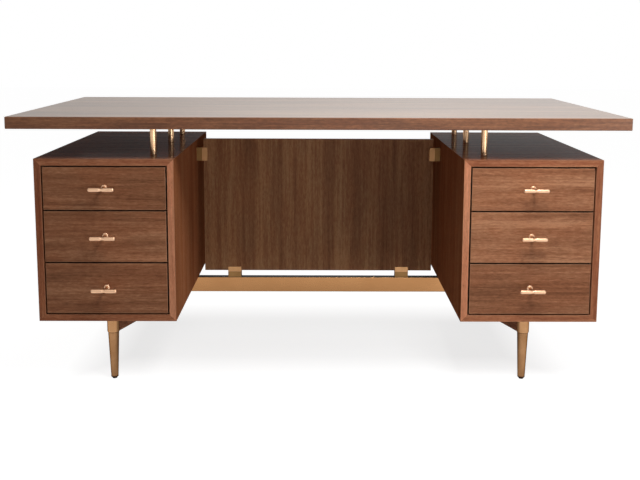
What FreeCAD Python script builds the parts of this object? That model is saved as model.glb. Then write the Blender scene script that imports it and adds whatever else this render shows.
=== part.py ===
"""Pedestal desk: a walnut slab on brass posts over two mitred drawer cases, with a clipped modesty panel.

Millimetres. +Z is up and the drawers open towards -Y. The origin is on the floor, under the slab's middle.
"""
import FreeCAD, Part
import Sketcher
import math
import os
from types import SimpleNamespace

# Driving sizes, written once; everything else is worked out from them
SIZES = {
    # Slab
    "slab_length": 1676,
    "slab_depth": 762,
    "slab_thickness": 33,
    "slab_ease": 1.5,
    "front_overhang": 43,
    # Round posts between the slab and the cases
    "post_height": 86,
    "post_diameter": 18,
    "post_side_inset": 75,
    "post_front_inset": 107,
    "post_middle_inset": 393,
    "post_rear_inset": 60,
    # Mitred cases
    "kneehole_width": 796,
    "case_width": 383,
    "case_depth": 676,
    "case_height": 459,
    "case_board": 19,
    "case_back_board": 12,
    "case_back_recess": 4,
    "case_edge_ease": 0.6,
    # Drawer fronts
    "drawer_reveal": 4,
    "drawer_front_board": 19,
    "drawer_front_ease": 0.8,
    "deep_drawer_height": 143,
    # Drawer boxes
    "box_length": 520,
    "box_rise": 12,
    "box_drop": 18,
    "box_side_board": 12,
    "box_back_board": 12,
    "box_bottom_board": 6,
    "groove_depth": 6,
    "groove_rise": 8,
    # Drawer slides
    "slide_space": 13,
    "slide_height": 46,
    "slide_wall": 1.5,
    "slide_lip_gap": 3,
    "slide_setback": 3,
    "running_clearance": 0.3,
    # T-bar pulls
    "pull_length": 72,
    "pull_grip_diameter": 11.6,
    "pull_neck_diameter": 9.2,
    "pull_neck_length": 12,
    "pull_projection": 35,
    "pull_lift": 3,
    "stem_diameter": 8,
    "stem_flange_diameter": 17,
    "stem_flange_thickness": 4,
    # Modesty panel and its clips
    "panel_height": 440,
    "panel_thickness": 16,
    "panel_gap": 22.5,
    "panel_ease": 0.8,
    "clip_width": 44,
    "clip_grip": 13,
    "clip_plate": 2,
    "clip_base": 4.5,
    "clip_ease": 0.5,
    "low_clip_spacing": 554,
    "side_clip_drop": 28,
    # Bar and base arms
    "bar_setback": 430,
    "bar_thickness": 25,
    "bar_end_reach": 78,
    "bar_ease": 1.5,
    "base_rail_height": 49,
    "arm_width": 35,
    "arm_joint_inset": 41,
    "arm_seat_clearance": 0.2,
    "arm_ease": 2,
    # Turned legs
    "leg_setback": 59,
    "collar_diameter": 35,
    "collar_height": 51,
    "collar_bevel": 2,
    "leg_drop": 139,
    "leg_shoulder_diameter": 31,
    "leg_foot_diameter": 20.4,
    "leg_foot_bevel": 2,
    "glide_diameter": 13,
    "glide_height": 3,
}


class Formula:
    """A length that is worked out from the sheet: its value now, and the expression that keeps it live."""

    def __init__(self, text, value):
        self.text = text
        self.value = value

    def __add__(self, other):
        other = formula(other)
        return Formula(f"({self.text} + {other.text})", self.value + other.value)

    def __sub__(self, other):
        other = formula(other)
        return Formula(f"({self.text} - {other.text})", self.value - other.value)

    def __mul__(self, other):
        other = formula(other)
        return Formula(f"({self.text} * {other.text})", self.value * other.value)

    def __truediv__(self, other):
        other = formula(other)
        return Formula(f"({self.text} / {other.text})", self.value / other.value)

    def __neg__(self):
        return Formula(f"(0 - {self.text})", -self.value)

    __rmul__ = __mul__


def formula(thing):
    """Give a Formula as it is, and a plain count or sign as a constant one."""
    if isinstance(thing, Formula):
        return thing
    return Formula(str(thing), thing)


def hypotenuse(a, b):
    return Formula(f"sqrt({a.text} ^ 2 + {b.text} ^ 2)", math.hypot(a.value, b.value))


def direction_angle(rise, run):
    return Formula(f"atan2({rise.text}; {run.text})", math.degrees(math.atan2(rise.value, run.value)))


ZERO = Formula("0", 0)
TOUCH = 1e-6
SIDES = {"left": -1, "right": 1}

doc = FreeCAD.newDocument("PedestalDesk")
sheet = doc.addObject("Spreadsheet::Sheet", "Sizes")
for row, (alias, number) in enumerate(SIZES.items(), start=1):
    sheet.set(f"A{row}", alias)
    sheet.set(f"B{row}", str(number))
    sheet.setAlias(f"B{row}", alias)
doc.recompute()
s = SimpleNamespace(**{alias: Formula(f"Sizes.{alias}", number) for alias, number in SIZES.items()})
nodes = []


# Levels and lines that several pieces share
floor_to_case = s.leg_drop + s.collar_height
case_top = floor_to_case + s.case_height
slab_underside = case_top + s.post_height
case_centre = s.kneehole_width / 2 + s.case_width / 2
case_front = s.front_overhang - s.slab_depth / 2
case_back = case_front + s.case_depth
opening_width = s.case_width - 2 * s.case_board
box_width = opening_width - 2 * s.slide_space
box_front = case_front + s.drawer_front_board
bar_front = case_front + s.bar_setback
bar_middle = bar_front + s.bar_thickness / 2
slide_length = s.box_length - 2 * s.slide_setback


# Helpers for document objects
def bind(item, **properties):
    for name, length in properties.items():
        item.setExpression(name, length.text)


def place(item, x, y, z):
    for axis, length in zip("xyz", (x, y, z)):
        item.setExpression(f".Placement.Base.{axis}", formula(length).text)


def new_body(label):
    body = doc.addObject("PartDesign::Body", label)
    body.Label = label
    return body


def new_sketch(body, role):
    sketch = body.newObject("Sketcher::SketchObject", "Outline")
    plane = next(item for item in body.Origin.OriginFeatures if item.Role == role)
    sketch.AttachmentSupport = [(plane, "")]
    sketch.MapMode = "FlatFace"
    return sketch


def pin_point(sketch, geometry, end, x, y):
    """Tie a sketch's point to the sheet: on an axis where its distance is zero, else by a driven distance."""
    for kind, axis, length in (("DistanceX", -2, x), ("DistanceY", -1, y)):
        if length is ZERO:
            sketch.addConstraint(Sketcher.Constraint("PointOnObject", geometry, end, axis))
        else:
            index = sketch.addConstraint(Sketcher.Constraint(kind, -1, 1, geometry, end, length.value))
            sketch.setExpression(f"Constraints[{index}]", length.text)


def outline(body, role, points):
    """Draw a closed outline of straight sides through points."""
    sketch = new_sketch(body, role)
    vectors = [FreeCAD.Vector(x.value, y.value, 0) for x, y in points]
    count = len(points)
    for index, start in enumerate(vectors):
        sketch.addGeometry(Part.LineSegment(start, vectors[(index + 1) % count]), False)
    for index, (x, y) in enumerate(points):
        sketch.addConstraint(Sketcher.Constraint("Coincident", index, 2, (index + 1) % count, 1))
        pin_point(sketch, index, 1, x, y)
    return sketch


def pad(body, sketch, length, reverse=False):
    feature = body.newObject("PartDesign::Pad", "Pad")
    feature.Profile = sketch
    feature.Reversed = reverse
    bind(feature, Length=length)
    doc.recompute()
    return feature


def revolve(body, sketch, axis):
    feature = body.newObject("PartDesign::Revolution", "Revolution")
    feature.Profile = sketch
    feature.ReferenceAxis = (sketch, [axis])
    feature.Angle = 360
    doc.recompute()
    return feature


def ease(body, feature, kind, size, keep=None):
    """Round or bevel the edges of a feature that pass the test, or all of them."""
    names = [
        f"Edge{number}"
        for number, edge in enumerate(feature.Shape.Edges, start=1)
        if keep is None or keep(edge)
    ]
    eased = body.newObject(f"PartDesign::{kind}", kind)
    eased.Base = (feature, names)
    if kind == "Fillet":
        bind(eased, Radius=size)
    else:
        bind(eased, Size=size)
    doc.recompute()
    return eased


def lies_at(axis, level):
    """A test for edges that lie in the plane where the given coordinate has that level."""
    return lambda edge: all(abs(getattr(vertex, axis) - level) < TOUCH for vertex in edge.Vertexes)


def runs_along(axis):
    """A test for straight edges along one axis."""
    others = [name for name in "XYZ" if name != axis]

    def test(edge):
        first, last = edge.Vertexes[0], edge.Vertexes[-1]
        return all(abs(getattr(first, name) - getattr(last, name)) < TOUCH for name in others)

    return test


def corners(width, height):
    """Corners of a rectangle centred on the sketch's upright axis and standing on its level one."""
    return [(-width / 2, ZERO), (width / 2, ZERO), (width / 2, height), (-width / 2, height)]


def box(label, x, y, z, length, width, height):
    """A plain board from its lowest corner."""
    item = doc.addObject("Part::Box", label)
    item.Label = label
    bind(item, Length=length, Width=width, Height=height)
    place(item, x, y, z)
    return item


def cut(label, base, tool):
    item = doc.addObject("Part::Cut", label)
    item.Label = label
    item.Base = base
    item.Tool = tool
    return item


def group(label, members):
    item = doc.addObject("Part::Compound", label)
    item.Label = label
    item.Links = members
    return item


def node(item):
    nodes.append(item)
    return item


# Slab and the posts under it
def make_slab():
    body = new_body("desktop")
    half_length = s.slab_length / 2
    half_depth = s.slab_depth / 2
    points = [
        (-half_length, -half_depth),
        (half_length, -half_depth),
        (half_length, half_depth),
        (-half_length, half_depth),
    ]
    slab = pad(body, outline(body, "XY_Plane", points), s.slab_thickness)
    ease(body, slab, "Chamfer", s.slab_ease)
    place(body, ZERO, ZERO, slab_underside)
    node(body)


def make_posts():
    rows = [case_front + s.post_front_inset, case_front + s.post_middle_inset, case_back - s.post_rear_inset]
    members = []
    for side, sign in SIDES.items():
        for number, y in enumerate(rows, start=1):
            body = new_body(f"{side}_post_{number}")
            radius = s.post_diameter / 2
            profile = [(ZERO, ZERO), (radius, ZERO), (radius, s.post_height), (ZERO, s.post_height)]
            revolve(body, outline(body, "XZ_Plane", profile), "V_Axis")
            place(body, sign * (s.kneehole_width / 2 + s.post_side_inset), y, case_top)
            members.append(body)
    node(group("slab_posts", members))


# Mitred cases
def side_board_corners(edge, inner_edge, low, high):
    """A side board's section, mitred at both ends, from the case's outer line to its opening's."""
    return [(edge, ZERO), (edge, s.case_height), (inner_edge, high), (inner_edge, low)]


def is_front_edge(edge):
    """True for a front edge along the board, so not for the slanting edge of its mitre."""
    return lies_at("Y", 0)(edge) and (runs_along("X")(edge) or runs_along("Z")(edge))


def make_case(side, sign):
    half = s.case_width / 2
    inner = half - s.case_board
    low = s.case_board
    high = s.case_height - s.case_board
    boards = {
        "top": [(-half, s.case_height), (half, s.case_height), (inner, high), (-inner, high)],
        "bottom": [(-half, ZERO), (-inner, low), (inner, low), (half, ZERO)],
        "outer_side": side_board_corners(sign * half, sign * inner, low, high),
        "inner_side": side_board_corners(-sign * half, -sign * inner, low, high),
    }
    for name, points in boards.items():
        body = new_body(f"{side}_case_{name}")
        board = pad(body, outline(body, "XZ_Plane", points), s.case_depth, reverse=True)
        ease(body, board, "Chamfer", s.case_edge_ease, is_front_edge)
        place(body, sign * case_centre, case_front, floor_to_case)
        node(body)
    back = new_body(f"{side}_case_back")
    sheet_outline = outline(back, "XZ_Plane", corners(opening_width, s.case_height - 2 * s.case_board))
    pad(back, sheet_outline, s.case_back_board)
    place(back, sign * case_centre, case_back - s.case_back_recess, floor_to_case + s.case_board)
    node(back)


# Drawers, from the floor of the case upwards
def drawer_rows():
    """Name, lower edge and height of each drawer front; the upper drawer takes what the deep ones leave."""
    lowest = floor_to_case + s.case_board + s.drawer_reveal
    step = s.deep_drawer_height + s.drawer_reveal
    upper = s.case_height - 2 * s.case_board - 4 * s.drawer_reveal - 2 * s.deep_drawer_height
    return [
        ("lower", lowest, s.deep_drawer_height),
        ("middle", lowest + step, s.deep_drawer_height),
        ("upper", lowest + 2 * step, upper),
    ]


def make_drawer_front(label, x, z, height):
    body = new_body(f"{label}_front")
    width = opening_width - 2 * s.drawer_reveal
    face = pad(body, outline(body, "XZ_Plane", corners(width, height)), s.drawer_front_board)
    at_front = lies_at("Y", -s.drawer_front_board.value)
    shown = ease(body, face, "Chamfer", s.drawer_front_ease, at_front)
    half_groove = box_width / 2 - s.box_side_board + s.groove_depth
    groove_low = s.box_rise + s.groove_rise
    groove_high = groove_low + s.box_bottom_board
    points = [
        (-half_groove, groove_low),
        (half_groove, groove_low),
        (half_groove, groove_high),
        (-half_groove, groove_high),
    ]
    groove = body.newObject("PartDesign::Pocket", "Groove")
    groove.Profile = outline(body, "XZ_Plane", points)
    groove.Reversed = True
    bind(groove, Length=s.groove_depth)
    doc.recompute()
    if groove.Shape.Volume >= shown.Shape.Volume:
        raise RuntimeError(f"the groove of {label} missed its board")
    place(body, x, box_front, z)
    node(body)


def make_drawer_box(label, x, z, height):
    low = z + s.box_rise
    box_height = height - s.box_rise - s.box_drop
    groove_low = low + s.groove_rise
    back_low = groove_low + s.box_bottom_board
    inside = box_width - 2 * s.box_side_board
    members = []
    for end, left_face, groove_face in (
        ("left", x - box_width / 2, x - inside / 2 - s.groove_depth),
        ("right", x + inside / 2, x + inside / 2),
    ):
        name = f"{label}_{end}_side"
        board = box(f"{name}_board", left_face, box_front, low, s.box_side_board, s.box_length, box_height)
        groove = box(
            f"{name}_groove",
            groove_face,
            box_front,
            groove_low,
            s.groove_depth,
            s.box_length,
            s.box_bottom_board,
        )
        members.append(cut(name, board, groove))
    back_y = box_front + s.box_length - s.box_back_board
    back_height = low + box_height - back_low
    back = box(f"{label}_back", x - inside / 2, back_y, back_low, inside, s.box_back_board, back_height)
    members.append(back)
    node(group(f"{label}_box", members))
    node(
        box(
            f"{label}_bottom",
            x - inside / 2 - s.groove_depth,
            box_front - s.groove_depth,
            groove_low,
            inside + 2 * s.groove_depth,
            s.box_length + s.groove_depth,
            s.box_bottom_board,
        )
    )
    return low + box_height / 2


def channel_outline(back, web, lip, half_height):
    """A C section: its web between the lines back and web, its two flanges reaching to the line lip."""
    flange = half_height - s.slide_wall
    return [
        (back, -half_height),
        (lip, -half_height),
        (lip, -flange),
        (web, -flange),
        (web, flange),
        (lip, flange),
        (lip, half_height),
        (back, half_height),
    ]


def make_slides(label, x, middle):
    """Channels on the case walls and the runners on the drawer's sides that lie in them."""
    reach = s.slide_space - s.slide_lip_gap
    channels = []
    runners = []
    for end, sign in SIDES.items():
        wall_face = sign * opening_width / 2
        box_face = sign * box_width / 2
        channel = new_body(f"{label}_{end}_channel")
        outer_web = wall_face - sign * s.slide_wall
        points = channel_outline(wall_face, outer_web, wall_face - sign * reach, s.slide_height / 2)
        pad(channel, outline(channel, "XZ_Plane", points), slide_length, reverse=True)
        runner = new_body(f"{label}_{end}_runner")
        inner_web = box_face + sign * s.slide_wall
        inner_lip = outer_web - sign * s.running_clearance
        inner_half = s.slide_height / 2 - s.slide_wall - s.running_clearance
        points = channel_outline(box_face, inner_web, inner_lip, inner_half)
        pad(runner, outline(runner, "XZ_Plane", points), slide_length, reverse=True)
        for body in (channel, runner):
            place(body, x, box_front + s.slide_setback, middle)
        channels.append(channel)
        runners.append(runner)
    node(group(f"{label}_runners", runners))
    return channels


def make_pull(label, x, z, height):
    """A bar necked in its middle, on a flanged stem that is scribed to the neck."""
    half = s.pull_length / 2
    neck_half = s.pull_neck_length / 2
    grip_radius = s.pull_grip_diameter / 2
    neck_radius = s.pull_neck_diameter / 2
    bar = new_body(f"{label}_pull_bar")
    profile = [
        (-half, ZERO),
        (half, ZERO),
        (half, grip_radius),
        (neck_half, grip_radius),
        (neck_half, neck_radius),
        (-neck_half, neck_radius),
        (-neck_half, grip_radius),
        (-half, grip_radius),
    ]
    revolve(bar, outline(bar, "XY_Plane", profile), "H_Axis")
    stem = new_body(f"{label}_pull_post")
    flange = s.stem_flange_diameter / 2
    stem_radius = s.stem_diameter / 2
    profile = [
        (ZERO, ZERO),
        (ZERO, -s.pull_projection),
        (stem_radius, -s.pull_projection),
        (stem_radius, -s.stem_flange_thickness),
        (flange, -s.stem_flange_thickness),
        (flange, ZERO),
    ]
    revolve(stem, outline(stem, "XY_Plane", profile), "V_Axis")
    middle = z + height / 2 + s.pull_lift
    place(bar, x, case_front - s.pull_projection, middle)
    place(stem, x, case_front, middle)
    node(group(f"{label}_pull", [bar, cut(f"{label}_pull_stem", stem, bar)]))


def make_drawers(side, sign):
    channels = []
    x = sign * case_centre
    for row_name, z, height in drawer_rows():
        label = f"{side}_{row_name}_drawer"
        make_drawer_front(label, x, z, height)
        middle = make_drawer_box(label, x, z, height)
        channels += make_slides(label, x, middle)
        make_pull(label, x, z, height)
    node(group(f"{side}_slide_channels", channels))


# Modesty panel in its clips
def make_panel():
    body = new_body("modesty_panel")
    width = s.kneehole_width - 2 * s.panel_gap
    board = pad(body, outline(body, "XZ_Plane", corners(width, s.panel_height)), s.panel_thickness)
    ease(body, board, "Chamfer", s.panel_ease)
    place(body, ZERO, bar_middle + s.panel_thickness / 2, floor_to_case + s.panel_gap)
    node(body)


def lies_outside(half_depth):
    """A test for the edges of a cup's two outer faces."""
    at_front = lies_at("Y", -half_depth)
    at_back = lies_at("Y", half_depth)
    return lambda edge: at_front(edge) or at_back(edge)


def make_clip(label):
    """A U-shaped cup that opens upwards, with its seat on the level of its own origin."""
    body = new_body(label)
    half = s.panel_thickness / 2 + s.clip_plate
    grip = s.panel_thickness / 2
    top = s.clip_base + s.clip_grip
    points = [
        (-half, ZERO),
        (half, ZERO),
        (half, top),
        (grip, top),
        (grip, s.clip_base),
        (-grip, s.clip_base),
        (-grip, top),
        (-half, top),
    ]
    cup = pad(body, outline(body, "YZ_Plane", points), s.clip_width)
    ease(body, cup, "Chamfer", s.clip_ease, lies_outside(half.value))
    return body


def make_clip_block(label):
    """The spacer that a cup stands on; it hangs below the cup's seat."""
    body = new_body(label)
    half = s.panel_thickness / 2 + s.clip_plate
    drop = s.panel_gap - s.clip_base
    points = [(-half, -drop), (half, -drop), (half, ZERO), (-half, ZERO)]
    block = pad(body, outline(body, "YZ_Plane", points), s.clip_width)
    ease(body, block, "Chamfer", s.clip_ease)
    return body


def make_clips():
    seat = s.panel_gap - s.clip_base
    side_top = floor_to_case + s.panel_gap + s.panel_height - s.side_clip_drop
    low_x = s.low_clip_spacing / 2
    spots = {
        "left_low": (0, -low_x - s.clip_width / 2, floor_to_case + seat),
        "right_low": (0, low_x - s.clip_width / 2, floor_to_case + seat),
        "left_side": (90, seat - s.kneehole_width / 2, side_top),
        "right_side": (-90, s.kneehole_width / 2 - seat, side_top - s.clip_width),
    }
    cups = []
    blocks = []
    for name, (turn, x, z) in spots.items():
        cup = make_clip(f"{name}_clip")
        block = make_clip_block(f"{name}_clip_block")
        for body in (cup, block):
            body.Placement.Rotation = FreeCAD.Rotation(FreeCAD.Vector(0, 1, 0), turn)
            place(body, x, bar_middle, z)
        cups.append(cup)
        blocks.append(block)
    node(group("panel_clips", cups))
    node(group("clip_blocks", blocks))


# Base: bar, arms and legs
def make_bar():
    body = new_body("stretcher_bar")
    half_length = s.kneehole_width / 2 + s.bar_end_reach
    points = [
        (-half_length, ZERO),
        (half_length, ZERO),
        (half_length, s.base_rail_height),
        (-half_length, s.base_rail_height),
    ]
    bar = pad(body, outline(body, "XZ_Plane", points), s.bar_thickness)
    ease(body, bar, "Fillet", s.bar_ease, runs_along("X"))
    place(body, ZERO, bar_front + s.bar_thickness, floor_to_case - s.base_rail_height)
    node(body)


def make_arm(label, sign, leg_y, turn, reach):
    """An arm from a leg's collar to the bar's face; turn is 1 where it runs towards +Y, else -1."""
    body = new_body(label)
    inward = s.case_width / 2 - s.arm_joint_inset
    to_bar = reach + s.bar_thickness / 2
    half = s.arm_width / 2
    length = reach * hypotenuse(inward, to_bar) / to_bar
    slant = half * inward / to_bar
    skew = sign * turn * slant
    points = [(ZERO, -half), (length - skew, -half), (length + skew, half), (ZERO, half)]
    rail = pad(body, outline(body, "XY_Plane", points), s.base_rail_height)
    under = lies_at("Z", 0)
    along = [lies_at("Y", -half.value), lies_at("Y", half.value)]
    ease(body, rail, "Chamfer", s.arm_ease, lambda edge: under(edge) and any(test(edge) for test in along))
    seat_sketch = new_sketch(body, "XY_Plane")
    radius = s.collar_diameter / 2 + s.arm_seat_clearance
    circle = Part.Circle(FreeCAD.Vector(0, 0, 0), FreeCAD.Vector(0, 0, 1), radius.value)
    seat_sketch.addGeometry(circle, False)
    seat_sketch.addConstraint(Sketcher.Constraint("Coincident", 0, 3, -1, 1))
    number = seat_sketch.addConstraint(Sketcher.Constraint("Radius", 0, radius.value))
    seat_sketch.setExpression(f"Constraints[{number}]", radius.text)
    seat = body.newObject("PartDesign::Pocket", "CollarSeat")
    seat.Profile = seat_sketch
    seat.Reversed = True
    seat.Type = "ThroughAll"
    doc.recompute()
    if seat.Shape.Volume >= rail.Shape.Volume:
        raise RuntimeError(f"the collar seat of {label} missed its arm")
    bind(body, **{".Placement.Rotation.Angle": direction_angle(turn * to_bar, -sign * inward)})
    place(body, sign * case_centre, leg_y, floor_to_case - s.base_rail_height)
    node(body)


def make_leg(label, x, y):
    body = new_body(label)
    foot = s.leg_foot_diameter / 2
    shoulder = s.leg_shoulder_diameter / 2
    collar = s.collar_diameter / 2
    profile = [
        (ZERO, s.glide_height),
        (foot, s.glide_height),
        (shoulder, s.leg_drop),
        (collar, s.leg_drop + s.collar_bevel),
        (collar, floor_to_case),
        (ZERO, floor_to_case),
    ]
    turned = revolve(body, outline(body, "XZ_Plane", profile), "V_Axis")
    ease(body, turned, "Chamfer", s.leg_foot_bevel, lies_at("Z", s.glide_height.value))
    place(body, x, y, ZERO)
    return body


def make_base():
    make_bar()
    front_reach = s.bar_setback - s.leg_setback
    rear_reach = s.case_depth - s.leg_setback - s.bar_setback - s.bar_thickness
    rows = {
        "front": (case_front + s.leg_setback, 1, front_reach),
        "rear": (case_back - s.leg_setback, -1, rear_reach),
    }
    glides = []
    for row_name, (y, turn, reach) in rows.items():
        legs = []
        for side, sign in SIDES.items():
            legs.append(make_leg(f"{side}_{row_name}_leg", sign * case_centre, y))
            make_arm(f"{side}_{row_name}_arm", sign, y, turn, reach)
            glide = doc.addObject("Part::Cylinder", f"{side}_{row_name}_glide")
            bind(glide, Radius=s.glide_diameter / 2, Height=s.glide_height)
            place(glide, sign * case_centre, y, ZERO)
            glides.append(glide)
        node(group(f"{row_name}_legs", legs))
    node(group("leg_glides", glides))


make_slab()
make_posts()
for side_name, side_sign in SIDES.items():
    make_case(side_name, side_sign)
    make_drawers(side_name, side_sign)
make_panel()
make_clips()
make_base()
doc.recompute()

# Nothing is written until every object and every shape is sound
for item in doc.Objects:
    if "Invalid" in item.State or "Error" in item.State:
        raise RuntimeError(f"{item.Label} failed: {item.State}")
for item in nodes:
    if item.Shape.isNull() or not item.Shape.isValid():
        raise RuntimeError(f"{item.Label} has no valid shape")

os.makedirs("parts", exist_ok=True)
for item in nodes:
    item.Shape.exportStep(f"parts/{item.Label}.step")
print(len(nodes), "nodes written")
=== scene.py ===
"""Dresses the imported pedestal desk: timber, brass, turned pulls, studio light and camera."""
import logging
import math
from abc import ABC, abstractmethod
from collections.abc import Sequence
from dataclasses import dataclass, replace
from enum import Enum

import bmesh
import bpy
from mathutils import Matrix, Vector


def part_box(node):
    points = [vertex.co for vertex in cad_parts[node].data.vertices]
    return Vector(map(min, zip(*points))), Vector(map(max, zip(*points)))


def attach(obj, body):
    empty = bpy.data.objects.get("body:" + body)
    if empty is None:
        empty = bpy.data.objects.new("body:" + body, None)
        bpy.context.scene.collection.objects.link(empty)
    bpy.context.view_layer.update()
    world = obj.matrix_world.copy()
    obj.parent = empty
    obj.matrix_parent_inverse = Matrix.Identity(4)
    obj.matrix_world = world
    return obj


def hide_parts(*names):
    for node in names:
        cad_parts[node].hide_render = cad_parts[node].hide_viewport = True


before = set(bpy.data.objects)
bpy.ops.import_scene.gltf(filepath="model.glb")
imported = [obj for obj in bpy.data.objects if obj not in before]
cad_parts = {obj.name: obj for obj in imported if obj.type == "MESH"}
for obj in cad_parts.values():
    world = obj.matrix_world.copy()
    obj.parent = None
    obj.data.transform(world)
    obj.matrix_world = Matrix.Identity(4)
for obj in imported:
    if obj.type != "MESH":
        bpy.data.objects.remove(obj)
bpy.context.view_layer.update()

IMAGE_WIDTH = 640
SENSOR_WIDTH = 36.0
LOG = logging.getLogger("desk")

Colour = tuple[float, float, float, float]
Triple = tuple[float, float, float]
Socket = bpy.types.NodeSocket
Point = tuple[float, float]
Range = tuple[float, float]

WHITE: Colour = (1.0, 1.0, 1.0, 1.0)
NOISE_MEAN = 0.5
NOISE_RANGE: Range = (0.3, 0.7)
DEPTH_AXIS = 1
HEIGHT_AXIS = 2
MIX_COLOURS = (6, 7)
MIX_RESULT = 2


def screen(red: int, green: int, blue: int) -> Colour:
    """Turns a colour as seen on screen into the linear values that shaders take.

    Args:
        red: red, from 0 to 255.
        green: green, from 0 to 255.
        blue: blue, from 0 to 255.

    Returns:
        The linear colour with an alpha of one.
    """
    linear = []
    for level in (red, green, blue):
        share = level / 255
        linear.append(share / 12.92 if share <= 0.04045 else ((share + 0.055) / 1.055) ** 2.4)
    return (linear[0], linear[1], linear[2], 1.0)


class Side(Enum):
    """The pedestal that a piece belongs to, as the sitter sees it."""

    LEFT = "left"
    RIGHT = "right"


class Row(Enum):
    """The height of a drawer in its pedestal."""

    UPPER = "upper"
    MIDDLE = "middle"
    LOWER = "lower"


class Run(Enum):
    """The axis that fibres or brush marks follow, and the two axes across it."""

    ALONG_X = "XYZ"
    ALONG_Y = "YXZ"
    ALONG_Z = "ZXY"


class Detail(Enum):
    """How many finer layers a cloud of noise has."""

    PLAIN = 1.0
    FINE = 2.0
    RICH = 3.0


class Graph:
    """The node tree of a material or a world, with short ways to add and join its nodes."""

    def __init__(self, owner: bpy.types.Material | bpy.types.World) -> None:
        """Empties the owner's node tree and starts on it."""
        self.owner = owner
        self.owner.use_nodes = True
        self.tree = owner.node_tree
        self.tree.nodes.clear()

    @classmethod
    def paint(cls, name: str) -> "Graph":
        """Starts a new material under that name."""
        return cls(bpy.data.materials.new(name))

    def add(self, kind: str, **settings: object) -> bpy.types.Node:
        """Adds a node of that kind.

        Args:
            kind: Blender's name of the node type.
            settings: the node's own properties.

        Returns:
            The new node.
        """
        node = self.tree.nodes.new(kind)
        for key, value in settings.items():
            setattr(node, key, value)
        return node

    def feed(self, socket: Socket, value: object) -> None:
        """Joins an output to a socket, or sets a plain value on it.

        Args:
            socket: the input to fill.
            value: an output socket, a number, a colour or a vector.
        """
        if isinstance(value, bpy.types.NodeSocket):
            self.tree.links.new(value, socket)
        else:
            socket.default_value = value

    def math(self, operation: str, first: object, second: object = 0.0) -> Socket:
        """Adds one sum.

        Args:
            operation: Blender's name of the sum.
            first: a number or an output.
            second: a number or an output.

        Returns:
            The result's output.
        """
        node = self.add("ShaderNodeMath", operation=operation)
        self.feed(node.inputs[0], first)
        self.feed(node.inputs[1], second)
        return node.outputs[0]

    def vector(self, operation: str, first: object, second: object) -> Socket:
        """Adds one sum of vectors.

        Args:
            operation: Blender's name of the sum.
            first: a vector or an output.
            second: a vector or an output.

        Returns:
            The resulting vector's output.
        """
        node = self.add("ShaderNodeVectorMath", operation=operation)
        self.feed(node.inputs[0], first)
        self.feed(node.inputs[1], second)
        return node.outputs[0]

    def length(self, vector: Socket) -> Socket:
        """Gives the length of a vector."""
        node = self.add("ShaderNodeVectorMath", operation="LENGTH")
        self.feed(node.inputs[0], vector)
        return node.outputs["Value"]

    def split(self, vector: Socket) -> list[Socket]:
        """Takes a vector apart into its X, Y and Z."""
        node = self.add("ShaderNodeSeparateXYZ")
        self.feed(node.inputs[0], vector)
        return list(node.outputs)

    def spread(self, value: object, low: float, high: float, new_low: float, new_high: float) -> Socket:
        """Maps a range of values onto another, held at its ends.

        Args:
            value: the number or output to map.
            low: the value that becomes new_low.
            high: the value that becomes new_high.
            new_low: the result at low.
            new_high: the result at high.

        Returns:
            The mapped value's output.
        """
        node = self.add("ShaderNodeMapRange", clamp=True)
        for socket, number in zip(node.inputs, (value, low, high, new_low, new_high)):
            self.feed(socket, number)
        return node.outputs[0]

    def mix(self, share: object, first: object, second: object, blend: str = "MIX") -> Socket:
        """Mixes two colours.

        Args:
            share: how much of the second colour shows.
            first: a colour or an output.
            second: a colour or an output.
            blend: Blender's name of the way to mix.

        Returns:
            The mixed colour's output.
        """
        node = self.add("ShaderNodeMix", data_type="RGBA", blend_type=blend)
        self.feed(node.inputs[0], share)
        for number, colour in zip(MIX_COLOURS, (first, second)):
            self.feed(node.inputs[number], colour)
        return node.outputs[MIX_RESULT]

    def noise(
        self, place: Socket, stretch: Sequence[float], detail: Detail, roughness: float = 0.5
    ) -> Socket:
        """Adds a cloud of noise stretched along the axes.

        Args:
            place: the vector that the noise follows.
            stretch: how many clouds fit in a metre, along each axis.
            detail: how many finer layers it has.
            roughness: how strong the finer layers are.

        Returns:
            The noise's value, about one half on average.
        """
        node = self.add("ShaderNodeTexNoise", noise_dimensions="3D")
        self.feed(node.inputs["Vector"], self.vector("MULTIPLY", place, tuple(stretch)))
        self.feed(node.inputs["Scale"], 1.0)
        self.feed(node.inputs["Detail"], detail.value)
        self.feed(node.inputs["Roughness"], roughness)
        return node.outputs["Fac"]

    def grain(
        self, place: Socket, length: float, width: float, detail: Detail, roughness: float = 0.5
    ) -> Socket:
        """Adds noise drawn out along the first axis.

        Args:
            place: the vector that the noise follows.
            length: how long its marks are, in metres.
            width: how wide its marks are, in metres.
            detail: how many finer layers it has.
            roughness: how strong the finer layers are.

        Returns:
            The noise's value.
        """
        return self.noise(place, (1 / length, 1 / width, 1 / width), detail, roughness)

    def place(self) -> Socket:
        """Gives the point on the piece in the frame's metres, which rides with the piece."""
        return self.add("ShaderNodeTexCoord").outputs["Object"]

    def turned(self, place: Socket, run: Run, shift: Sequence[float]) -> Socket:
        """Turns a point so that its first axis follows the run.

        Args:
            place: the point in the frame.
            run: the axis of the fibres or brush marks.
            shift: where the piece was cut from, in metres.

        Returns:
            The turned and shifted point.
        """
        parts = self.split(place)
        join = self.add("ShaderNodeCombineXYZ")
        for socket, letter in zip(join.inputs, run.value):
            self.feed(socket, parts["XYZ".index(letter)])
        return self.vector("ADD", join.outputs[0], tuple(shift))

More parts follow.
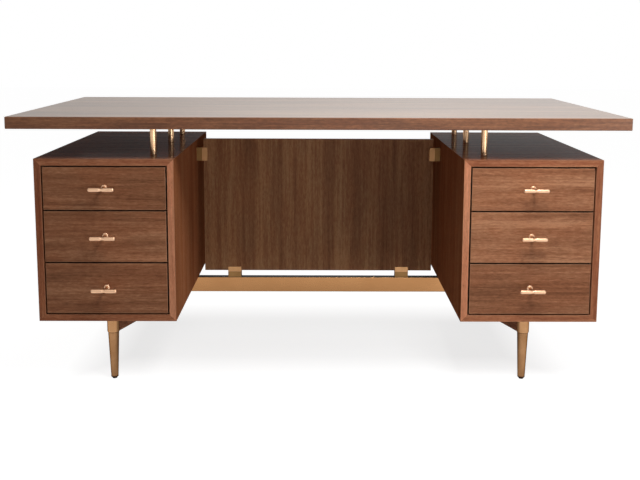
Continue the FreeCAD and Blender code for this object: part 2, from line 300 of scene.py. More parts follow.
    def border(self, place: Socket, low: Vector, high: Vector) -> Socket:
        """Measures how far a point on a box's face lies from the face's nearest edge.

        Args:
            place: the point in the frame.
            low: the box's lowest corner.
            high: the box's highest corner.

        Returns:
            The distance in metres: the middle one of the distances to the box's three nearest faces.
        """
        gaps = []
        for part, start, end in zip(self.split(place), low, high):
            below = self.math("SUBTRACT", part, start)
            above = self.math("SUBTRACT", end, part)
            gaps.append(self.math("MINIMUM", below, above))
        smaller = self.math("MINIMUM", gaps[0], gaps[1])
        larger = self.math("MAXIMUM", gaps[0], gaps[1])
        return self.math("MAXIMUM", smaller, self.math("MINIMUM", larger, gaps[2]))

    def normal(self, axis: int) -> Socket:
        """Gives the part of the surface's normal along one axis, from 0 for X to 2 for Z."""
        return self.split(self.add("ShaderNodeNewGeometry").outputs["Normal"])[axis]

    def facing(self, axis: int, way: int, start: float = 0.8, full: float = 0.95) -> Socket:
        """Finds the faces that look along one axis of the frame.

        Args:
            axis: the axis, from 0 for X to 2 for Z.
            way: 1 for faces that look up the axis, -1 for those that look down it.
            start: the part of the normal along the axis that counts as zero.
            full: the part of the normal along the axis that counts as one.

        Returns:
            One on the faces that look that way, and zero on the rest.
        """
        return self.spread(self.normal(axis), way * start, way * full, 0.0, 1.0)

    def beside(self, axis: int, full: float = 0.5, end: float = 0.8) -> Socket:
        """Finds the faces that look square to one axis of the frame.

        Args:
            axis: the axis, from 0 for X to 2 for Z.
            full: the part of the normal along the axis up to which a face looks aside.
            end: the part of the normal along the axis from which a face looks along it.

        Returns:
            One on the faces that look aside from the axis, and zero on those that look along it.
        """
        return self.spread(self.math("ABSOLUTE", self.normal(axis)), full, end, 1.0, 0.0)

    def mirrored(self, path: bpy.types.Node) -> Socket:
        """Tells the rays that come by a mirror or through glass, from the light path's node."""
        return self.math("MAXIMUM", path.outputs["Is Glossy Ray"], path.outputs["Is Transmission Ray"])

    def bump(self, height: Socket, depth: float) -> Socket:
        """Raises and lowers the surface's normal by a height from zero to one.

        Args:
            height: the height's output.
            depth: what one means, in metres.

        Returns:
            The bumped normal.
        """
        node = self.add("ShaderNodeBump")
        self.feed(node.inputs["Strength"], 1.0)
        self.feed(node.inputs["Distance"], depth)
        self.feed(node.inputs["Height"], height)
        return node.outputs["Normal"]

    def surface(self, **inputs: object) -> bpy.types.Material:
        """Ends the tree in a principled shader.

        Args:
            inputs: the shader's sockets by name, with underscores for spaces.

        Returns:
            The finished material.
        """
        shader = self.add("ShaderNodeBsdfPrincipled")
        for key, value in inputs.items():
            self.feed(shader.inputs[key.replace("_", " ")], value)
        output = self.add("ShaderNodeOutputMaterial")
        self.feed(output.inputs["Surface"], shader.outputs[0])
        return self.owner


@dataclass(frozen=True)
class Stock:
    """The piece of stock that a finish is laid on: its box, its run and where it was cut."""

    label: str
    low: Vector
    high: Vector
    run: Run
    leaf: int = 0
    tone: float = 0.0
    leaf_step: Triple = (0.731, 0.377, 0.193)

    @classmethod
    def of(cls, node: str, run: Run, leaf: int = 0, tone: float = 0.0) -> "Stock":
        """Describes a CAD node as a piece of stock.

        Args:
            node: the node's name.
            run: the axis of its fibres or brush marks.
            leaf: the number of the leaf or length that it was cut from.
            tone: how much lighter than the rest the leaf is; the lower drawers' negative tones are painted
                shade.

        Returns:
            The stock with the node's own box.
        """
        low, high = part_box(node)
        return cls(node, low, high, run, leaf, tone)

    def shift(self) -> Triple:
        """Gives each leaf its own place in the log, in metres."""
        return tuple(step * self.leaf for step in self.leaf_step)


class Finish(ABC):
    """A surface finish that makes a material for a piece of stock."""

    @abstractmethod
    def material(self, stock: Stock) -> bpy.types.Material:
        """Makes the material for that piece of stock."""

    def dress(self, stock: Stock) -> None:
        """Puts the finish on the CAD node that the stock is named for."""
        material = self.material(stock)
        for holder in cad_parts[stock.label].material_slots:
            holder.material = material


@dataclass(frozen=True)
class Timber(Finish):
    """A species of wood and its lacquer: the colours of its figure and the sizes of its grain, in metres.

    Rates are counts in a metre, and the shares of the figure add up to one.
    """

    name: str
    dark: Colour
    middle: Colour
    light: Colour
    pore: Colour
    worn_and_highlight: Colour
    band_width: float = 0.045
    band_length: float = 0.9
    band_share: float = 0.34
    streak_width: float = 0.0075
    streak_length: float = 0.26
    streak_share: float = 0.30
    fibre_width: float = 0.0014
    fibre_length: float = 0.05
    fibre_share: float = 0.14
    fleck_width: float = 0.0045
    fleck_length: float = 0.016
    fleck_share: float = 0.22
    crispness: float = 0.6
    pore_width: float = 0.0006
    pore_length: float = 0.011
    pore_range: Range = (0.62, 0.74)
    pore_share: float = 0.55
    wander: float = 0.012
    wander_rate: float = 5.0
    patch_rates: Triple = (7.0, 22.0, 22.0)
    patch_range: Range = (0.4, 0.6)
    rub_rate: float = 60.0
    edge_width: float = 0.0022
    edge_share: float = 0.35
    roughness: float = 0.36
    gloss_steps: Range = (-0.05, 0.07)
    sheen_level: float = 0.1
    grain_depth: float = 0.00012
    fibre_relief: float = 0.4
    contrast: float = 0.11
    front_painted_light: Colour | None = None
    top_painted_sheen: Colour | None = None
    painted_reveal_share: float = 0.0
    painted_reveal_colour: Colour = screen(30, 17, 11)
    blush: Colour = (1.0, 0.94, 0.91, 1.0)
    coat: float = 0.0
    coat_roughness: float = 0.36
    coat_ior: float = 1.4

    def figure(self, graph: Graph, log: Socket) -> tuple[Socket, Socket, Socket]:
        """Grows the figure: wandering bands, streaks and fibres, and the pores between them.

        Args:
            graph: the material's node tree.
            log: the point in the log, with the fibres along its first axis.

        Returns:
            The tone from dark to light, the fibres and the pores.
        """
        slow = graph.noise(log, (1 / self.band_length, self.wander_rate, self.wander_rate), Detail.PLAIN)
        sway = graph.math("MULTIPLY", graph.math("SUBTRACT", slow, NOISE_MEAN), self.wander)
        offset = graph.add("ShaderNodeCombineXYZ")
        graph.feed(offset.inputs[1], sway)
        graph.feed(offset.inputs[2], sway)
        swayed = graph.vector("ADD", log, offset.outputs[0])
        bands = graph.grain(swayed, self.band_length, self.band_width, Detail.FINE)
        streaks = graph.grain(swayed, self.streak_length, self.streak_width, Detail.RICH, self.crispness)
        fibres = graph.grain(swayed, self.fibre_length, self.fibre_width, Detail.FINE)
        flecks = graph.grain(swayed, self.fleck_length, self.fleck_width, Detail.FINE, self.crispness)
        pores = graph.grain(swayed, self.pore_length, self.pore_width, Detail.PLAIN)
        tone = graph.math("MULTIPLY", bands, self.band_share)
        tone = graph.math("ADD", tone, graph.math("MULTIPLY", streaks, self.streak_share))
        tone = graph.math("ADD", tone, graph.math("MULTIPLY", fibres, self.fibre_share))
        tone = graph.math("ADD", tone, graph.math("MULTIPLY", flecks, self.fleck_share))
        return tone, fibres, graph.spread(pores, *self.pore_range, 0.0, 1.0)

    def material(self, stock: Stock) -> bpy.types.Material:
        """Makes the lacquered wood of one board.

        Args:
            stock: the board, its run of grain and its leaf.

        Returns:
            The board's material.
        """
        graph = Graph.paint(f"{self.name}_{stock.label}")
        place = graph.place()
        log = graph.turned(place, stock.run, stock.shift())
        tone, fibres, pores = self.figure(graph, log)
        shades = graph.add("ShaderNodeValToRGB")
        graph.feed(shades.inputs[0], graph.math("ADD", tone, stock.tone))
        ramp = shades.color_ramp.elements
        ramp[0].position, ramp[0].color = NOISE_MEAN - self.contrast, self.dark
        ramp[1].position, ramp[1].color = NOISE_MEAN + self.contrast, self.light
        centre = ramp.new(NOISE_MEAN)
        centre.color = self.middle
        patches = graph.spread(graph.noise(log, self.patch_rates, Detail.FINE), *self.patch_range, 0.0, 1.0)
        colour = graph.mix(patches, shades.outputs[0], self.blush, "MULTIPLY")
        colour = graph.mix(graph.math("MULTIPLY", pores, self.pore_share), colour, self.pore)
        # Painted light: faces that look to the front are multiplied lighter, as if the lamps fell on the
        # front edges.
        if self.front_painted_light:
            colour = graph.mix(graph.facing(DEPTH_AXIS, -1), colour, self.front_painted_light, "MULTIPLY")
        # Painted sheen: faces that look up are multiplied lighter and greyer, standing in for the sheen on
        # the top.
        if self.top_painted_sheen:
            colour = graph.mix(graph.facing(HEIGHT_AXIS, 1), colour, self.top_painted_sheen, "MULTIPLY")
        # Painted shade: faces that look aside from the front, in the reveals between the drawers, are
        # darkened towards a near-black brown.
        if self.painted_reveal_share:
            painted_reveal_mask = graph.math("MULTIPLY", graph.beside(DEPTH_AXIS), self.painted_reveal_share)
            colour = graph.mix(painted_reveal_mask, colour, self.painted_reveal_colour)
        # The edges are lightened towards the worn colour: partly wear, partly a painted highlight on the
        # eased edges.
        border = graph.border(place, stock.low, stock.high)
        rub = graph.noise(place, (self.rub_rate,) * 3, Detail.FINE)
        edge = graph.math("MULTIPLY", graph.spread(border, 0.0, self.edge_width, 1.0, 0.0), rub)
        colour = graph.mix(graph.math("MULTIPLY", edge, self.edge_share / NOISE_MEAN), colour, self.worn_and_highlight)
        gloss = graph.spread(fibres, *NOISE_RANGE, *(self.roughness + step for step in self.gloss_steps))
        height = graph.math("SUBTRACT", graph.math("MULTIPLY", fibres, self.fibre_relief), pores)
        return graph.surface(
            Base_Color=colour,
            Roughness=gloss,
            Specular_IOR_Level=self.sheen_level,
            Coat_Weight=self.coat,
            Coat_Roughness=self.coat_roughness,
            Coat_IOR=self.coat_ior,
            Normal=graph.bump(height, self.grain_depth),
        )


@dataclass(frozen=True)
class Metal(Finish):
    """A brushed or turned metal: its colours, its gloss and its brush marks, in metres."""

    name: str
    colour: Colour
    shade: Colour
    worn_and_highlight: Colour
    roughness: float = 0.3
    gloss_steps: Range = (0.07, -0.05)
    mark_width: float = 0.0005
    mark_length: float = 0.06
    mark_depth: float = 0.00002
    mark_share: float = 0.3
    cloud_size: float = 0.05
    cloud_share: float = 0.7
    cloud_crispness: float = 0.6
    tone_range: Range = (0.35, 0.65)
    edge_width: float = 0.0015
    edge_share: float = 0.6
    edge_tint: Colour = (0.12, 0.08, 0.05, 1.0)
    crown: Colour | None = None
    crown_roughness: float = 0.4
    foot: float = 0.0
    foot_shade: Colour = screen(58, 36, 24)
    collar: float = 0.0
    collar_painted_light: Colour = (1.32, 1.34, 1.36, 1.0)

    def material(self, stock: Stock) -> bpy.types.Material:
        """Makes the metal of one piece.

        Args:
            stock: the piece and the run of its brush marks.

        Returns:
            The piece's material.
        """
        graph = Graph.paint(f"{self.name}_{stock.label}")
        place = graph.place()
        turned = graph.turned(place, stock.run, stock.shift())
        marks = graph.grain(turned, self.mark_length, self.mark_width, Detail.FINE)
        clouds = graph.noise(place, (1 / self.cloud_size,) * 3, Detail.RICH, self.cloud_crispness)
        tone = graph.math("MULTIPLY", clouds, self.cloud_share)
        tone = graph.math("ADD", tone, graph.math("MULTIPLY", marks, self.mark_share))
        colour = graph.mix(graph.spread(tone, *self.tone_range, 0.0, 1.0), self.shade, self.colour)
        # The edges are lightened towards the worn colour: partly wear, partly a painted highlight.
        border = graph.border(place, stock.low, stock.high)
        edge = graph.spread(border, 0.0, self.edge_width, self.edge_share, 0.0)
        colour = graph.mix(edge, colour, self.worn_and_highlight)
        # The foot is painted darker towards the bottom.
        if self.foot:
            height = graph.split(place)[HEIGHT_AXIS]
            low = graph.spread(height, stock.low.z + self.foot / 2, stock.low.z + self.foot, 1.0, 0.0)
            colour = graph.mix(low, colour, self.foot_shade)
            # Painted light: the collar is multiplied lighter than the rest of the leg.
            above = graph.math("GREATER_THAN", height, stock.high.z - self.collar)
            colour = graph.mix(above, colour, self.collar_painted_light, "MULTIPLY")
        gloss = graph.spread(tone, *NOISE_RANGE, *(self.roughness + step for step in self.gloss_steps))
        bare = 1.0
        # The upward faces are painted a near-black, rougher non-metal.
        if self.crown:
            upward = graph.facing(HEIGHT_AXIS, 1)
            colour = graph.mix(upward, colour, self.crown)
            gloss = graph.math("ADD", gloss, graph.math("MULTIPLY", upward, self.crown_roughness))
            bare = graph.math("SUBTRACT", 1.0, upward)
        return graph.surface(
            Base_Color=colour,
            Metallic=bare,
            Roughness=gloss,
            Specular_Tint=self.edge_tint,
            Normal=graph.bump(marks, self.mark_depth),
        )


@dataclass(frozen=True)
class Moulding(Finish):
    """A moulded matt plastic with a fine spark texture."""

    name: str
    colour: Colour
    scuffed: Colour
    roughness: float = 0.55
    gloss_steps: Range = (-0.08, 0.12)
    spark_size: float = 0.0006
    spark_depth: float = 0.00004
    scuff_rates: Triple = (220.0, 220.0, 40.0)
    scuff_range: Range = (0.55, 0.75)
    scuff_crispness: float = 0.65
    scuff_share: float = 0.6

    def material(self, stock: Stock) -> bpy.types.Material:
        """Makes the plastic of one piece.

        Args:
            stock: the piece.

        Returns:
            The piece's material.
        """
        graph = Graph.paint(f"{self.name}_{stock.label}")
        place = graph.place()
        sparks = graph.noise(place, (1 / self.spark_size,) * 3, Detail.FINE)
        scuffs = graph.noise(place, self.scuff_rates, Detail.RICH, self.scuff_crispness)
        worn_and_highlight = graph.spread(scuffs, *self.scuff_range, 0.0, self.scuff_share)
        colour = graph.mix(worn_and_highlight, self.colour, self.scuffed)
        gloss = graph.spread(scuffs, *NOISE_RANGE, *(self.roughness + step for step in self.gloss_steps))
        normal = graph.bump(sparks, self.spark_depth)
        return graph.surface(Base_Color=colour, Roughness=gloss, Normal=normal)


WALNUT = {
    "pore": screen(58, 33, 20),
    "worn_and_highlight": screen(196, 146, 112),
}
SLAB_WALNUT = Timber(
    "slab_walnut",
    dark=screen(108, 65, 39),
    middle=screen(138, 88, 56),
    light=screen(166, 112, 75),
    roughness=0.33,
    sheen_level=0.12,
    front_painted_light=(1.02, 1.04, 1.08, 1.0),
    top_painted_sheen=(1.0, 1.42, 1.8, 1.0),
    contrast=0.085,
    coat=1.0,
    **WALNUT,
)
CASE_WALNUT = Timber(
    "case_walnut",
    dark=screen(134, 77, 51),
    middle=screen(163, 101, 70),
    light=screen(192, 129, 92),
    streak_width=0.006,
    **WALNUT,
)
CASE_TOP_WALNUT = replace(
    CASE_WALNUT,
    name="case_top_walnut",
    roughness=0.08,
    sheen_level=0.004,
    front_painted_light=(1.1, 1.18, 1.28, 1.0),
)
CASE_SIDE_WALNUT = replace(
    CASE_WALNUT,
    name="case_side_walnut",
    dark=screen(132, 79, 50),
    middle=screen(157, 100, 66),
    light=screen(180, 122, 84),
    contrast=0.16,
    roughness=0.6,
    sheen_level=0.0,
    front_painted_light=(2.1, 2.4, 3.1, 1.0),
)
DRAWER_WALNUT = Timber(
    "drawer_walnut",
    dark=screen(126, 81, 55),
    middle=screen(159, 106, 75),
    light=screen(193, 138, 102),
    edge_share=0.6,
    painted_reveal_share=0.85,
    **WALNUT,
)
PANEL_WALNUT = Timber(
    "panel_walnut",
    dark=screen(123, 83, 56),
    middle=screen(150, 106, 74),
    light=screen(177, 133, 94),
    streak_width=0.009,
    sheen_level=0.06,
    **WALNUT,
)
ARM_WALNUT = Timber(
    "arm_walnut",
    dark=screen(112, 74, 52),
    middle=screen(144, 98, 72),
    light=screen(174, 124, 94),
    sheen_level=0.03,
    **WALNUT,
)
BOX_WOOD = Timber(
    "box_wood",
    dark=screen(188, 152, 112),
    middle=screen(208, 174, 132),
    light=screen(224, 194, 154),
    pore=screen(160, 122, 84),
    worn_and_highlight=screen(232, 208, 172),
    edge_share=0.2,
    roughness=0.48,
    band_width=0.03,
)
CLIP_BRASS = Metal(
    "clip_brass",
    colour=screen(206, 157, 110),
    shade=screen(189, 142, 97),
    worn_and_highlight=screen(238, 200, 154),
    roughness=0.38,
)
BLOCK_BRASS = Metal(
    "block_brass",
    colour=screen(158, 120, 76),
    shade=screen(142, 106, 64),
    worn_and_highlight=screen(206, 166, 118),
    roughness=0.4,
)
BAR_BRASS = Metal(
    "bar_brass",
    colour=screen(200, 147, 98),
    shade=screen(190, 137, 89),
    worn_and_highlight=screen(222, 179, 131),
    roughness=0.26,
    cloud_size=0.25,
    crown=screen(10, 7, 6),
)
TURNED_BRASS = Metal(
    "turned_brass",
    colour=screen(252, 210, 166),
    shade=screen(240, 194, 150),
    worn_and_highlight=screen(252, 222, 186),
    roughness=0.27,
)
LEG_BRASS = Metal(
    "leg_brass",
    colour=screen(170, 128, 90),
    shade=screen(151, 110, 74),
    worn_and_highlight=screen(186, 148, 110),
    roughness=0.22,
    foot=0.007,
    collar=0.049,
)
PULL_BRASS = Metal(
    "pull_brass",
    colour=screen(240, 197, 162),
    shade=screen(228, 184, 148),
    worn_and_highlight=screen(244, 209, 180),
    roughness=0.42,
)
SLIDE_STEEL = Metal(
    "slide_steel",
    colour=screen(186, 188, 190),
    shade=screen(160, 163, 166),
    worn_and_highlight=screen(206, 208, 210),
    roughness=0.34,
    edge_tint=(0.9, 0.9, 0.9, 1.0),
)
GLIDE = Moulding("glide", colour=screen(38, 35, 33), scuffed=screen(74, 70, 66))


def lathe(
    name: str, profile: Sequence[Point], axis: Vector, centre: Vector, segments: int
) -> bpy.types.Object:
    """Turns a profile about an axis into a closed smooth mesh.

    Args:
        name: the new object's name.
        profile: points of distance along the axis and radius, with a radius of zero at both ends.
        axis: the unit direction of the axis.
        centre: the point that distances along the axis start from.
        segments: how many sides the turned form has.

    Returns:
        The new object, linked to the scene.
    """
    across = Vector((0.0, 0.0, 1.0)) if abs(axis.z) < 0.5 else Vector((1.0, 0.0, 0.0))
    second = axis.cross(across)
    form = bmesh.new()
    rings = []
    for along, radius in profile:
        count = segments if radius > 0 else 1
        ring = []
        for step in range(count):
            angle = 2 * math.pi * step / count
            out = across * math.cos(angle) + second * math.sin(angle)
            ring.append(form.verts.new(centre + axis * along + out * radius))
        rings.append(ring)
    for near, far in zip(rings, rings[1:]):
        for step in range(segments):
            after = (step + 1) % segments
            near_pair = [near[step % len(near)], near[after % len(near)]]
            far_pair = [far[after % len(far)], far[step % len(far)]]
            form.faces.new(list(dict.fromkeys(near_pair + far_pair)))
    return finish_mesh(name, form)


def finish_mesh(name: str, form: bmesh.types.BMesh, crease: float = math.radians(38)) -> bpy.types.Object:
    """Turns a mesh in the making into a smooth object with sharp creases.

    Args:
        name: the new object's name.
        form: the mesh in the making, which is freed.
        crease: the angle past which an edge stays sharp.

    Returns:
        The new object, linked to the scene.
    """
    bmesh.ops.recalc_face_normals(form, faces=form.faces)
    mesh = bpy.data.meshes.new(name)
    form.to_mesh(mesh)
    form.free()
    for face in mesh.polygons:
        face.use_smooth = True
    mesh.set_sharp_from_angle(angle=crease)
    piece = bpy.data.objects.new(name, mesh)
    bpy.context.scene.collection.objects.link(piece)
    return piece


@dataclass
class Slab:
    """The thick top on its posts."""

    leaf: int = 3
    wood: Timber = SLAB_WALNUT
    brass: Metal = TURNED_BRASS

    def dress(self) -> list[str]:
        """Lays the veneer along the slab and polishes the posts.

        Returns:
            The names of the pieces.
        """
        self.wood.dress(Stock.of("desktop", Run.ALONG_X, self.leaf))
        self.brass.dress(Stock.of("slab_posts", Run.ALONG_Z))
        return ["desktop", "slab_posts"]


@dataclass
class Pull:
    """A drawer's T-bar pull: a round-ended bar with a pinched waist, on a stem with a domed flange."""

    drawer: str
    brass: Metal = PULL_BRASS
    grip_radius: float = 0.0058
    waist_radius: float = 0.0045
    waist_reach: float = 0.0075
    end_round: float = 0.0052
    end_power: float = 2.2
    stem_radius: float = 0.004
    flange_rim: float = 0.0012
    flange_rise: float = 0.0042
    bar_segments: int = 36
    stem_segments: int = 32
    curve_steps: int = 8

    def curve(self) -> list[float]:
        """Gives even steps of a quarter turn, in radians."""
        return [math.pi / 2 * step / self.curve_steps for step in range(self.curve_steps + 1)]

    def bar_radius(self, along: float, half: float) -> float:
        """Gives the bar's radius at a distance from its middle.

        Args:
            along: the distance from the bar's middle.
            half: half of the bar's length.

        Returns:
            The radius there, down to zero at the very end.
        """
        away = abs(along)
        radius = self.grip_radius
        if away < self.waist_reach:
            dip = 0.5 + 0.5 * math.cos(math.pi * away / self.waist_reach)
            radius -= (self.grip_radius - self.waist_radius) * dip
        past = max(0.0, away - (half - self.end_round)) / self.end_round
        return radius * math.sqrt(max(0.0, 1 - min(1.0, past) ** self.end_power))

    def build(self) -> list[str]:
        """Builds the pull in place of its plain CAD solids.

        Returns:
            The names of the pieces.
        """
        node = f"{self.drawer}_pull"
        low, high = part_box(node)
        half = (high.x - low.x) / 2
        centre = Vector(((low.x + high.x) / 2, low.y + self.grip_radius, (low.z + high.z) / 2))
        flange_radius = (high.z - low.z) / 2
        steps = range(-self.curve_steps, self.curve_steps + 1)
        waist = [self.waist_reach * step / self.curve_steps for step in steps]
        ends = [half - self.end_round * (1 - math.sin(angle)) for angle in self.curve()]
        stations = [-along for along in reversed(ends)] + waist + ends
        profile = [(along, self.bar_radius(along, half)) for along in stations]
        bar = lathe(f"{node}_bar", profile, Vector((1, 0, 0)), centre, self.bar_segments)
        stem = self.stem(f"{node}_stem", centre, high.y, flange_radius, half)
        finish = self.brass.material(Stock(node, low, high, Run.ALONG_X))
        for piece in (bar, stem):
            piece.data.materials.append(finish)
            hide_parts(node)
            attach(piece, self.drawer)
        return [bar.name, stem.name]

    def stem(self, name: str, centre: Vector, face: float, flange: float, half: float) -> bpy.types.Object:
        """Turns the stem and scribes its end to the bar's waist.

        Args:
            name: the stem's name.
            centre: the middle of the bar's axis.
            face: where the drawer's face lies along Y.
            flange: the flange's radius.
            half: half of the bar's length.

        Returns:
            The stem's object.
        """
        drop = flange - self.stem_radius
        dome = []
        for angle in self.curve():
            rise = self.flange_rim + (self.flange_rise - self.flange_rim) * math.sin(angle)
            dome.append((rise, self.stem_radius + drop * math.cos(angle)))
        reach = face - centre.y
        profile = [(0.0, 0.0), (0.0, flange)] + dome + [(reach, self.stem_radius), (reach, 0.0)]
        root = Vector((centre.x, face, centre.z))
        piece = lathe(name, profile, Vector((0, -1, 0)), root, self.stem_segments)
        for vertex in piece.data.vertices:
            if vertex.co.y < centre.y + self.stem_radius / 2:
                girth = self.bar_radius(vertex.co.x - centre.x, half)
                vertex.co.y = centre.y + math.sqrt(max(0.0, girth**2 - (vertex.co.z - centre.z) ** 2))
        return piece


@dataclass
class Drawer:
    """One drawer: its front, box, bottom, runners and pull."""

    side: Side
    row: Row
    leaf: int
    tone: float = 0.0
    wood: Timber = DRAWER_WALNUT
    lining: Timber = BOX_WOOD
    steel: Metal = SLIDE_STEEL

    def body(self) -> str:
        """Names the moving body that carries the drawer."""
        return f"{self.side.value}_{self.row.value}_drawer"

    def dress(self) -> list[str]:
        """Dresses the drawer's boards and builds its pull.

        Returns:
            The names of the pieces.
        """
        body = self.body()
        self.wood.dress(Stock.of(f"{body}_front", Run.ALONG_X, self.leaf, self.tone))
        self.lining.dress(Stock.of(f"{body}_box", Run.ALONG_Y, self.leaf))
        self.lining.dress(Stock.of(f"{body}_bottom", Run.ALONG_X, self.leaf))
        self.steel.dress(Stock.of(f"{body}_runners", Run.ALONG_Y))
        return [f"{body}_{part}" for part in ("front", "box", "bottom", "runners")] + Pull(body).build()


@dataclass
class Pedestal:
    """A case of mitred boards with three drawers."""

    side: Side
    leaf: int
    tones_and_painted_shade: Triple
    steel: Metal = SLIDE_STEEL

    def dress(self) -> list[str]:
        """Lays the grain round the case and dresses its slides and drawers.

        Returns:
            The names of the pieces.
        """
        side = self.side.value
        boards = {
            "top": (CASE_TOP_WALNUT, Run.ALONG_X),
            "bottom": (CASE_WALNUT, Run.ALONG_X),
            "outer_side": (CASE_WALNUT, Run.ALONG_Z),
            "inner_side": (CASE_SIDE_WALNUT, Run.ALONG_Z),
            "back": (CASE_WALNUT, Run.ALONG_Z),
        }
        names = []
        for number, (board, (wood, run)) in enumerate(boards.items()):
            node = f"{side}_case_{board}"
            wood.dress(Stock.of(node, run, self.leaf + number))
            names.append(node)
        channels = f"{side}_slide_channels"
        self.steel.dress(Stock.of(channels, Run.ALONG_Y))
        names.append(channels)
        for number, (row, tone) in enumerate(zip(Row, self.tones_and_painted_shade)):
            names += Drawer(self.side, row, self.leaf + len(boards) + number, tone).dress()
        return names


@dataclass
class Kneehole:
    """The modesty panel between the pedestals, with its clips and their blocks."""

    leaf: int = 29
    wood: Timber = PANEL_WALNUT
    clip: Metal = CLIP_BRASS
    block: Metal = BLOCK_BRASS

    def dress(self) -> list[str]:
        """Dresses the panel and what holds it.

        Returns:
            The names of the pieces.
        """
        self.wood.dress(Stock.of("modesty_panel", Run.ALONG_Z, self.leaf))
        self.clip.dress(Stock.of("panel_clips", Run.ALONG_Z))
        self.block.dress(Stock.of("clip_blocks", Run.ALONG_X))
        return ["modesty_panel", "panel_clips", "clip_blocks"]


@dataclass
class Base:
    """What carries the pedestals: the bar, the arms, the legs and their glides."""

    leaf: int = 30
    wood: Timber = ARM_WALNUT
    bar_brass: Metal = BAR_BRASS
    leg_brass: Metal = LEG_BRASS
    tip: Moulding = GLIDE

    def dress(self) -> list[str]:
        """Dresses the bar, arms, legs and glides.

        Returns:
            The names of the pieces.
        """
        self.bar_brass.dress(Stock.of("stretcher_bar", Run.ALONG_X))
        names = ["stretcher_bar", "leg_glides"]
        self.tip.dress(Stock.of("leg_glides", Run.ALONG_Z))
        for end in ("front", "rear"):
            self.leg_brass.dress(Stock.of(f"{end}_legs", Run.ALONG_Z))
            names.append(f"{end}_legs")
            for number, side in enumerate(Side):
                node = f"{side.value}_{end}_arm"
                self.wood.dress(Stock.of(node, Run.ALONG_Y, self.leaf + number))
                names.append(node)
        return names


@dataclass(frozen=True)
class Lamp:
    """A soft oblong lamp: its place, its target, its width and height in metres, and its watts."""

    name: str
    stand: Triple
    target: Triple
    width: float
    height: float
    power: float

    def place(self) -> None:
        """Hangs the lamp in the scene."""
        light = bpy.data.lights.new(self.name, "AREA")
        light.shape = "RECTANGLE"
        light.size = self.width
        light.size_y = self.height
        light.energy = self.power
        holder = bpy.data.objects.new(self.name, light)
        holder.location = self.stand
        aim = Vector(self.target) - Vector(self.stand)
        holder.rotation_mode = "QUATERNION"
        holder.rotation_quaternion = aim.to_track_quat("-Z", "Y")
        bpy.context.scene.collection.objects.link(holder)


@dataclass(frozen=True)
class Viewpoint:
    """The photograph's camera: its eye in metres, its angles in degrees, its lens in pixels and its shift.

    The shift is a share of the picture's width.
    """

    eye: Triple = (-0.0096, -2.5456, 0.9735)
    pitch: float = 7.27
    yaw: float = 0.31
    roll: float = -0.21
    focal_pixels: float = 816.3
    shift: float = -0.15

    def place(self) -> None:
        """Makes the scene's camera."""
        data = bpy.data.cameras.new("camera")
        data.sensor_width = SENSOR_WIDTH
        data.lens = self.focal_pixels * SENSOR_WIDTH / IMAGE_WIDTH
        data.shift_y = self.shift
        holder = bpy.data.objects.new("camera", data)
        turn = Matrix.Rotation(math.radians(-self.yaw), 4, "Z")
        tilt = Matrix.Rotation(math.radians(90 - self.pitch), 4, "X")
        lean = Matrix.Rotation(math.radians(-self.roll), 4, "Z")
        holder.matrix_world = Matrix.Translation(self.eye) @ turn @ tilt @ lean
        bpy.context.scene.collection.objects.link(holder)
        bpy.context.scene.camera = holder


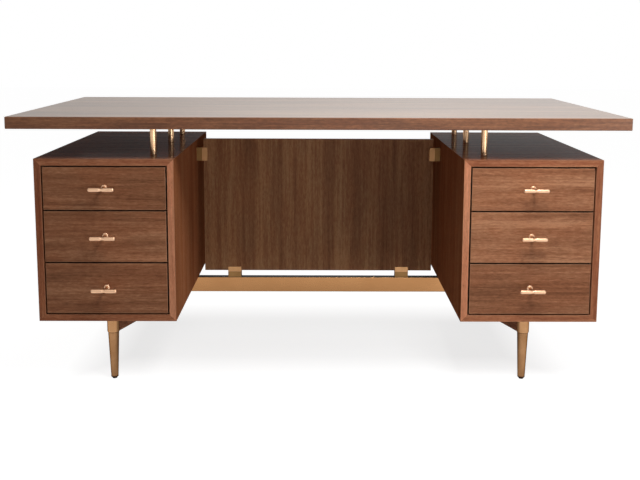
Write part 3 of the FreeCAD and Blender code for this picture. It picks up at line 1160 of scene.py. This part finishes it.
@dataclass
class Studio:
    """A pale sweep of floor under soft light, with a white background.

    The shade is a painted shadow under the desk: the floor's glow is lower there, along X and across, and
    the lamps cast the rest of the desk's shadow. The mirror values are the floor as gloss shows it, with a
    deeper painted shade under the desk. The band and the rear are the room as gloss shows it: dark at the
    left, bright behind and above. The lamps are a key above the right pedestal, a low side lamp, a weak
    fill and a broad lamp behind.
    """

    floor_reach: float = 14.0
    floor_colour: Colour = (0.8, 0.8, 0.8, 1.0)
    seen_colour: Colour = (0.25, 0.25, 0.25, 1.0)
    painted_shadow_glow: float = 0.775
    far_glow: float = 0.98
    grit_rate: float = 90.0
    grit_depth: float = 0.00005
    shade_centre: Triple = (0.0, 0.04, 0.0)
    shade_along: Range = (0.58, 0.75)
    shade_across: Range = (0.155, 0.36)
    mirror_centre: Triple = (-0.05, 0.0, 0.0)
    mirror_reach: Triple = (1.0, 0.52, 1.0)
    mirror_fade: Range = (0.5, 1.05)
    mirror_shade: float = 0.26
    ambient: float = 0.05
    band_turn: Range = (-0.3, 0.3)
    band_levels: Range = (0.08, 0.5)
    band_heights: Range = (0.08, 0.5)
    rear_depths: Range = (0.2, 0.7)
    rear_heights: Range = (0.17, 0.27)
    rear_turn: Range = (-0.35, 0.1)
    rear_shares: Range = (0.75, 1.0)
    rear_level: float = 1.79
    lamps: tuple[Lamp, ...] = (
        Lamp("key", (0.5, -1.1, 1.8), (0.5, -0.33, 0.5), 0.6, 0.6, 20.0),
        Lamp("side", (2.2, -2.8, 0.6), (-0.3, 0.0, 0.5), 1.0, 0.8, 13.0),
        Lamp("fill", (0.4, -3.0, 0.5), (-0.1, 0.0, 0.5), 1.0, 0.8, 3.5),
        Lamp("back", (0.1, 1.5, 2.4), (0.1, 0.2, 0.7), 1.6, 1.2, 10.0),
    )

    def floor(self) -> None:
        """Lays the floor, which is nearly white, keeps the desk's cast shadow and has a painted shadow
        under the desk in its glow.
        """
        form = bmesh.new()
        bmesh.ops.create_grid(form, x_segments=2, y_segments=2, size=self.floor_reach)
        floor = finish_mesh("floor", form)
        graph = Graph.paint("floor_paint")
        paint = graph.add("ShaderNodeBsdfDiffuse")
        place = graph.place()
        rolled = graph.noise(place, (self.grit_rate,) * 3, Detail.FINE)
        graph.feed(paint.inputs["Normal"], graph.bump(rolled, self.grit_depth))
        path = graph.add("ShaderNodeLightPath")
        through = graph.mirrored(path)
        seen = graph.math("MAXIMUM", path.outputs["Is Camera Ray"], through)
        graph.feed(paint.inputs["Color"], graph.mix(seen, self.floor_colour, self.seen_colour))
        # Painted shadow: the glow that the camera sees is lower under the desk, along X and across.
        levels = []
        away = graph.split(graph.vector("SUBTRACT", place, self.shade_centre))
        for part, limits in zip(away, (self.shade_along, self.shade_across)):
            out = graph.math("ABSOLUTE", part)
            levels.append(graph.spread(out, *limits, self.painted_shadow_glow, self.far_glow))
        glow_with_painted_shadow = graph.math("MAXIMUM", *levels)
        # Painted shade in reflections: gloss sees the floor darker under the desk than the camera does.
        past = graph.vector("SUBTRACT", place, self.mirror_centre)
        out = graph.length(graph.vector("DIVIDE", past, self.mirror_reach))
        mirrored = graph.spread(out, *self.mirror_fade, self.mirror_shade, self.far_glow)
        shown = graph.math("MULTIPLY", path.outputs["Is Camera Ray"], glow_with_painted_shadow)
        shown = graph.math("ADD", shown, graph.math("MULTIPLY", through, mirrored))
        glow = graph.add("ShaderNodeEmission")
        graph.feed(glow.inputs["Strength"], shown)
        both = graph.add("ShaderNodeAddShader")
        graph.feed(both.inputs[0], paint.outputs[0])
        graph.feed(both.inputs[1], glow.outputs[0])
        output = graph.add("ShaderNodeOutputMaterial")
        graph.feed(output.inputs["Surface"], both.outputs[0])
        floor.data.materials.append(graph.owner)

    def backdrop(self) -> None:
        """Makes the world white where it is seen and softer where it only lights."""
        world = bpy.data.worlds.new("studio")
        bpy.context.scene.world = world
        graph = Graph(world)
        path = graph.add("ShaderNodeLightPath")
        right, back, up = graph.split(graph.add("ShaderNodeTexCoord").outputs["Generated"])
        height = graph.spread(graph.math("ABSOLUTE", up), *self.band_heights, 0.0, 1.0)
        band = graph.spread(right, *self.band_turn, *self.band_levels)
        rear = graph.spread(back, *self.rear_depths, 0.0, 1.0)
        rear = graph.math("MULTIPLY", rear, graph.spread(up, *self.rear_heights, 0.0, 1.0))
        rear = graph.math("MULTIPLY", rear, graph.spread(right, *self.rear_turn, *self.rear_shares))
        mirrored = graph.math("MAXIMUM", band, height)
        mirrored = graph.math("MAXIMUM", mirrored, graph.math("MULTIPLY", rear, self.rear_level))
        through = graph.mirrored(path)
        lit = graph.math("MULTIPLY", graph.math("SUBTRACT", 1.0, through), self.ambient)
        strength = graph.math("ADD", lit, graph.math("MULTIPLY", through, mirrored))
        strength = graph.math("MAXIMUM", strength, path.outputs["Is Camera Ray"])
        sky = graph.add("ShaderNodeBackground")
        graph.feed(sky.inputs["Color"], WHITE)
        graph.feed(sky.inputs["Strength"], strength)
        output = graph.add("ShaderNodeOutputWorld")
        graph.feed(output.inputs["Surface"], sky.outputs[0])

    def build(self) -> list[str]:
        """Sets up the floor, the world, the lamps and the camera.

        Returns:
            The names of what was set up.
        """
        bpy.context.scene.view_settings.view_transform = "Standard"
        self.floor()
        self.backdrop()
        for lamp in self.lamps:
            lamp.place()
        Viewpoint().place()
        return ["floor", "studio", *(lamp.name for lamp in self.lamps), "camera"]


def main() -> None:
    """Builds the desk's sub-assemblies and the studio in order."""
    logging.basicConfig(level=logging.INFO, format="%(name)s: %(message)s")
    names = Slab().dress()
    # The lower drawers' negative tones are painted shade, darker towards the bottom of each pedestal.
    names += Pedestal(Side.LEFT, leaf=40, tones_and_painted_shade=(0.01, 0.0, -0.03)).dress()
    names += Pedestal(Side.RIGHT, leaf=60, tones_and_painted_shade=(0.0, 0.06, -0.02)).dress()
    names += Kneehole().dress()
    names += Base().dress()
    names += Studio().build()
    for name in names:
        LOG.info("dressed %s", name)


if __name__ == "__main__":
    main()
